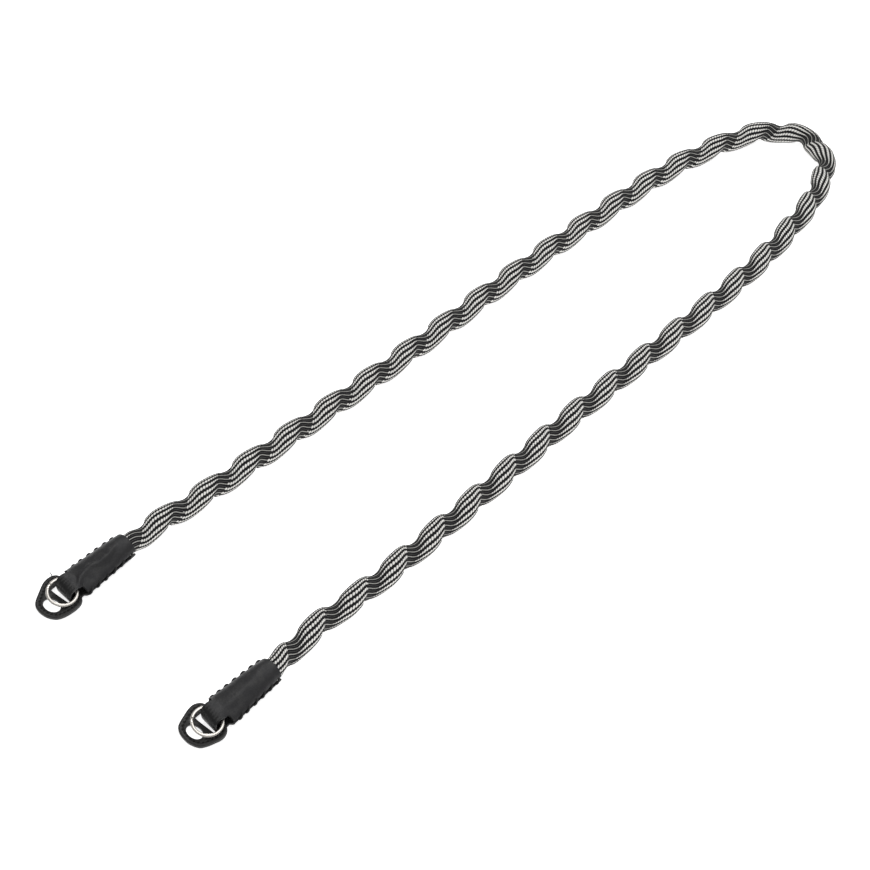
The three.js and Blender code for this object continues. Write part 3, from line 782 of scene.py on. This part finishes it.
for side, (ring_centre, split_at) in RINGS.items():
    fold = ENDS[side]["fold"]
    middle = Vector((fold[0] + ring_centre[0], fold[1] + ring_centre[1], ring_centre[2]))
    vertices = []
    turns = np.linspace(0, 4 * math.pi - STEP_TURN - END_GAP, COIL_STEPS)
    for turn in turns:
        lift = COIL_LIFT * (2 * float(smoothstep((turn - 2 * math.pi + STEP_TURN) / STEP_TURN)) - 1)
        squeeze = END_SQUEEZE if turn in (turns[0], turns[-1]) else 1.0
        angle = turn + split_at
        for wide, tall in wire_section:
            radius = RING_RADIUS + COIL_HALF_WIDTH * wide * squeeze
            local = Vector((radius * math.cos(angle), radius * math.sin(angle),
                            lift + COIL_HALF_HEIGHT * tall * squeeze))
            vertices.append(tuple((middle + ring_turn @ local) / 1000))
    coil = piece_from(f"split_ring_{side}", vertices, tube_faces(COIL_STEPS, WIRE_SIDES, 0), 50)
    coil.data.materials.append(ring_finish)
    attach(coil, "root")
    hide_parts(f"ring_{side}")

# Protectors: two plies of black leather glued back to back and sewn round the edge with black thread. The
# oval hole is for the camera's lug, and the tongue goes down through the slot behind it.
PAD_THICKNESS = 1.5
PAD_SLOPE = math.radians(5.2)
PAD_REACH, PAD_CLEARANCE = 12.5, 0.02
PAD_RISE = PAD_REACH * math.sin(PAD_SLOPE) + PAD_CLEARANCE
PAD_EDGE_RADIUS = 0.28
BAR_SAG = 0.55                # the bar between hole and slot sags
BAR_AT, BAR_SPREAD = (-2.2, 3.5), (2.2, 5.0)
SEAM_FROM_EDGE = 1.75
STITCH_PITCH = 1.9
GROOVE_DEPTH, GROOVE_WIDTH = 0.13, 0.42
# The last of these is how far round each stitch hole the painted shade reaches.
HOLE_DEPTH, HOLE_RADIUS, HOLE_SHADE_RADIUS = 0.5, 0.38, 0.6
RIM_HEIGHT, RIM_FROM_EDGE, RIM_WIDTH = 0.07, 0.75, 0.6
PLY_LINE_DEPTH, PLY_LINE_WIDTH = 0.16, 0.16
FACE_INSET = 0.02
SLOT_HALF_WIDTH, SLOT_HALF_LENGTH, SLOT_CORNER = 2.45, 6.35, 0.8
FACE_SIZE = 0.21
PRESS_ROUNDS, PRESS_LIMIT, PRESS_TRIAL, LEAST_SLOPE = 4, 0.3, 0.01, 0.2
SEAM_SHARES = np.linspace(0.3, 0.7, 7)           # shares of the pitch that a thread shows over
SEAM_TOP = (0.35, 0.65)
SEAM_SUNK, SEAM_END_SUNK = 0.12, 0.36
SEAM_RADII = [0.12, 0.19, 0.21, 0.21, 0.21, 0.19, 0.12]
LOOSE_END = [(3.9, 11.0, 1.2), (4.1, 11.9, 1.45), (4.4, 12.6, 1.7), (4.3, 13.1, 2.2), (4.9, 13.4, 2.6)]
LOOSE_RADII = [0.2, 0.21, 0.2, 0.18, 0.12]
PADS = {  # lug: where the hole is, its half width and half length, its turn; slot: where it is, its turn
    "left": {
        "outline": [
            (-12.5, 0.4), (-12.3, -2.1), (-11.6, -4.3), (-10.1, -6.6), (-7.7, -8.0), (-4.9, -8.7),
            (-2.1, -9.0), (0.2, -8.9), (2.0, -8.4), (3.6, -7.3), (4.8, -5.3), (5.4, -2.3), (5.7, 0.9),
            (6.0, 4.3), (6.3, 7.7), (5.9, 10.1), (4.6, 11.6), (2.8, 12.2), (0.8, 12.2), (-1.3, 11.7),
            (-3.5, 10.6), (-6.5, 8.9), (-9.5, 7.1), (-11.3, 5.3), (-12.2, 2.9),
        ],
        "lug": (-6.6, 0.3, 3.1, 4.6, -0.08), "slot": (1.14, 0.75, -0.01),
    },
    "right": {
        "outline": [
            (-11.3, 0.8), (-11.1, -1.3), (-10.6, -3.2), (-9.7, -4.9), (-8.3, -6.0), (-6.4, -7.0),
            (-4.2, -7.8), (-2.2, -8.5), (-0.4, -8.7), (1.4, -8.3), (3.2, -7.2), (4.6, -5.2), (5.4, -2.3),
            (5.8, 1.0), (6.1, 4.5), (6.4, 7.6), (6.1, 9.6), (4.8, 11.1), (3.1, 11.9), (1.2, 12.0),
            (-1.0, 11.6),
            (-3.6, 10.8), (-6.3, 9.9), (-8.4, 8.8), (-9.8, 7.0), (-10.8, 4.3),
        ],
        "lug": (-5.9, 2.1, 2.8, 4.4, -0.16), "slot": (1.30, 0.75, -0.04),
    },
}


def closed_curve(points, steps):
    """Dense closed smooth curve through the points."""
    points = np.array(points, float)
    share = np.linspace(0, 1, steps, endpoint=False)[:, None]
    return np.vstack([curve_between([points[(i + k) % len(points)] for k in (-1, 0, 1, 2)], share)
                      for i in range(len(points))])


def distance_to_loop(points, loop):
    """Signed distance in the plane to a closed loop, negative inside."""
    best = np.full(len(points), 1e9)
    inside = np.zeros(len(points), bool)
    for a, b in zip(loop, np.roll(loop, -1, axis=0)):
        d = b - a
        share = np.clip(((points - a) @ d) / (d @ d), 0, 1)
        best = np.minimum(best, np.linalg.norm(points - a - share[:, None] * d, axis=1))
        crosses = (a[1] > points[:, 1]) != (b[1] > points[:, 1])
        if abs(b[1] - a[1]) > 1e-12:
            inside ^= crosses & (points[:, 0] < (b[0] - a[0]) * (points[:, 1] - a[1]) / (b[1] - a[1]) + a[0])
    return np.where(inside, -best, best)


def turned(points, turn):
    """Points in the plane, turned by an angle."""
    return points @ np.array([[math.cos(turn), math.sin(turn)], [-math.sin(turn), math.cos(turn)]])


def pad_loops(pad):
    """The protector's outline, lug hole and slot as dense loops."""
    along, across, half_width, half_length, turn = pad["lug"]
    angle = np.linspace(0, 2 * np.pi, 48, endpoint=False)
    lug = turned(np.c_[half_width * np.cos(angle), half_length * np.sin(angle)], turn) + (along, across)
    along, across, turn = pad["slot"]
    long, wide = SLOT_HALF_LENGTH - SLOT_CORNER, SLOT_HALF_WIDTH - SLOT_CORNER
    corners = []
    for sx, sy, first in ((1, 1, 0), (-1, 1, 90), (-1, -1, 180), (1, -1, 270)):
        for degrees in range(first, first + 91, 15):
            corners.append((sx * wide + SLOT_CORNER * math.cos(math.radians(degrees)),
                            sy * long + SLOT_CORNER * math.sin(math.radians(degrees))))
    return closed_curve(pad["outline"], 6), lug, turned(np.array(corners), turn) + (along, across)


def on_slope(points):
    """From the protector's own plane to its place beside the fold."""
    x, y, z = points.T
    along_bar, across_bar = (y - BAR_AT[1]) / BAR_SPREAD[1], (x - BAR_AT[0]) / BAR_SPREAD[0]
    z = z - BAR_SAG * np.exp(-across_bar ** 2 - along_bar ** 2)
    return np.c_[x * math.cos(PAD_SLOPE) - z * math.sin(PAD_SLOPE), y,
                 x * math.sin(PAD_SLOPE) + z * math.cos(PAD_SLOPE) + PAD_RISE]


def from_hole(points, hole):
    """Squared distance in the plane from a stitch hole."""
    return np.sum((points[:, :2] - hole) ** 2, axis=1)


def pad_surface(points, loops, holes_at):
    """How far points are outside the protector's rounded, grooved and pierced body."""
    from_edge, from_lug, from_slot = (distance_to_loop(points[:, :2], loop) for loop in loops)
    flat = np.maximum(from_edge, np.maximum(-from_lug, -from_slot))
    middle = PAD_THICKNESS / 2
    groove = GROOVE_DEPTH * np.exp(-((from_edge + SEAM_FROM_EDGE) / GROOVE_WIDTH) ** 2)
    for hole in holes_at:
        groove += HOLE_DEPTH * np.exp(-from_hole(points, hole) / HOLE_RADIUS ** 2)
    rim = RIM_HEIGHT * np.exp(-((from_edge + RIM_FROM_EDGE) / RIM_WIDTH) ** 2)
    up = np.abs(points[:, 2] - middle) - (middle - FACE_INSET) + groove - rim
    out = flat + PLY_LINE_DEPTH * np.exp(-((points[:, 2] - middle) / PLY_LINE_WIDTH) ** 2)
    a, b = out + PAD_EDGE_RADIUS, up + PAD_EDGE_RADIUS
    return np.minimum(np.maximum(a, b), 0) + np.hypot(np.maximum(a, 0), np.maximum(b, 0)) - PAD_EDGE_RADIUS


def on_line(line, distances, distance):
    """The point of a closed line at a distance along it."""
    return np.array([np.interp(distance % distances[-1], distances, line[:, k]) for k in (0, 1)])


# The protectors' leather is painted near black round the stitch holes: painted shade, set by the point
# attribute made below.
pad_leather = leather_finish("protector_leather_finish", (0.0125, 0.0125, 0.0130), (0.0210, 0.0205, 0.020),
                             1900.0, 0.7, "painted_hole_shade", (0.001, 0.001, 0.001), 1.0)
seam_thread = thread_finish("seam_thread", (0.014, 0.014, 0.014), (0.026, 0.026, 0.026))
for side, pad in PADS.items():
    fold = np.array([*ENDS[side]["fold"], 0.0])
    loops = pad_loops(pad)
    outline = loops[0]
    to_next = np.roll(outline, -1, axis=0) - np.roll(outline, 1, axis=0)
    inward = np.c_[-to_next[:, 1], to_next[:, 0]] / np.linalg.norm(to_next, axis=1)[:, None]
    seam_line = outline + SEAM_FROM_EDGE * inward
    seam_line = np.vstack([seam_line, seam_line[:1]])
    seam_steps = np.linalg.norm(np.diff(seam_line, axis=0), axis=1)
    seam_distance = np.concatenate([[0], np.cumsum(seam_steps)])
    stitch_count = int(round(seam_distance[-1] / STITCH_PITCH))
    pitch = seam_distance[-1] / stitch_count
    holes_at = [on_line(seam_line, seam_distance, k * pitch) for k in range(stitch_count)]

    flat_curve = bpy.data.curves.new(f"protector_{side}_cut", "CURVE")
    flat_curve.dimensions = "2D"
    flat_curve.fill_mode = "BOTH"
    flat_curve.extrude = PAD_THICKNESS / 2000
    for loop in loops:
        spline = flat_curve.splines.new("POLY")
        spline.points.add(len(loop) - 1)
        spline.points.foreach_set("co", np.c_[loop / 1000, np.zeros(len(loop)), np.ones(len(loop))].ravel())
        spline.use_cyclic_u = True
    pick_only(link_object(f"leather_protector_{side}", flat_curve))
    bpy.ops.object.convert(target="MESH")
    protector = bpy.context.object
    face_outward(merge_within=1e-6)
    remesh = protector.modifiers.new("even_faces", "REMESH")
    remesh.mode = "VOXEL"
    remesh.voxel_size = FACE_SIZE / 1000
    bpy.ops.object.modifier_apply(modifier="even_faces")

    flat_points = np.empty(len(protector.data.vertices) * 3)
    protector.data.vertices.foreach_get("co", flat_points)
    flat_points = flat_points.reshape(-1, 3) * 1000
    flat_points[:, 2] += PAD_THICKNESS / 2
    for _ in range(PRESS_ROUNDS):
        value = pad_surface(flat_points, loops, holes_at)
        slope = np.stack([(pad_surface(flat_points + step, loops, holes_at) - value) / PRESS_TRIAL
                          for step in PRESS_TRIAL * np.eye(3)], axis=1)
        size = np.maximum((slope ** 2).sum(1), LEAST_SLOPE)
        flat_points -= np.clip(value / size, -PRESS_LIMIT, PRESS_LIMIT)[:, None] * slope
    protector.data.vertices.foreach_set("co", ((on_slope(flat_points) + fold) / 1000).ravel())
    protector.data.update()
    # Painted shade: a point attribute, 1 at each stitch hole and fading out round it; where it is 1 the
    # leather is painted near black.
    shade = np.zeros(len(flat_points))
    for hole in holes_at:
        shade = np.maximum(shade, np.exp(-(from_hole(flat_points, hole) / HOLE_SHADE_RADIUS ** 2) ** 2))
    painted_hole_shade = protector.data.attributes.new("painted_hole_shade", "FLOAT", "POINT")
    painted_hole_shade.data.foreach_set("value", shade)
    bpy.ops.object.shade_smooth()
    protector.data.materials.clear()
    protector.data.materials.append(pad_leather)
    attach(protector, "root")
    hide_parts(f"protector_{side}")

    threads = []
    for face_up in (True, False):
        for k in range(stitch_count):
            way = []
            for share in SEAM_SHARES:
                x, y = on_line(seam_line, seam_distance, (k + share) * pitch)
                sunk = SEAM_SUNK if SEAM_TOP[0] < share < SEAM_TOP[1] else SEAM_END_SUNK
                way.append((x, y, PAD_THICKNESS - sunk if face_up else sunk))
            threads.append((way, SEAM_RADII))
    if side == "left":
        threads.append((LOOSE_END, LOOSE_RADII))
    seam_points, seam_faces = sweep_tubes(threads, 6)
    seam = piece_from(f"edge_stitching_{side}", (on_slope(seam_points) + fold) / 1000, seam_faces)
    seam.data.materials.append(seam_thread)
    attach(seam, "root")

# Table and light: a white table lit from within, as in a picture on white, a large soft light overhead, a
# smaller one behind the strap for the leather's shine, and a pale room.
WHITE = (1.0, 1.0, 1.0, 1.0)
TABLE_WHITE, TABLE_GLOW = (0.93, 0.93, 0.93, 1.0), 0.78
ROOM_GLOW = 0.42
LIGHTS = (  # place, size in metres, watts
    ("key_light", (0.25, -0.35, 1.55), 1.2, 9.5),
    ("back_light", (0.75, 0.64, 1.25), 0.35, 4.5),
)
bpy.ops.mesh.primitive_plane_add(size=8.0, location=(0, 0, 0))
table = bpy.context.object
table.name = "table_top"
table_finish, tree, shader = new_finish("white_table")
shader.inputs["Base Color"].default_value = TABLE_WHITE
shader.inputs["Roughness"].default_value = 0.9
shader.inputs["Emission Color"].default_value = WHITE
shader.inputs["Emission Strength"].default_value = TABLE_GLOW
table.data.materials.append(table_finish)
world = bpy.data.worlds.new("white_room")
bpy.context.scene.world = world
world.use_nodes = True
room = world.node_tree.nodes["Background"]
room.inputs["Color"].default_value = WHITE
room.inputs["Strength"].default_value = ROOM_GLOW
for name, place, size, power in LIGHTS:
    lamp_data = bpy.data.lights.new(name, "AREA")
    lamp_data.size = size
    lamp_data.energy = power
    lamp = link_object(name, lamp_data)
    lamp.location = place
    lamp.rotation_euler = (-Vector(place)).to_track_quat("-Z", "Y").to_euler()
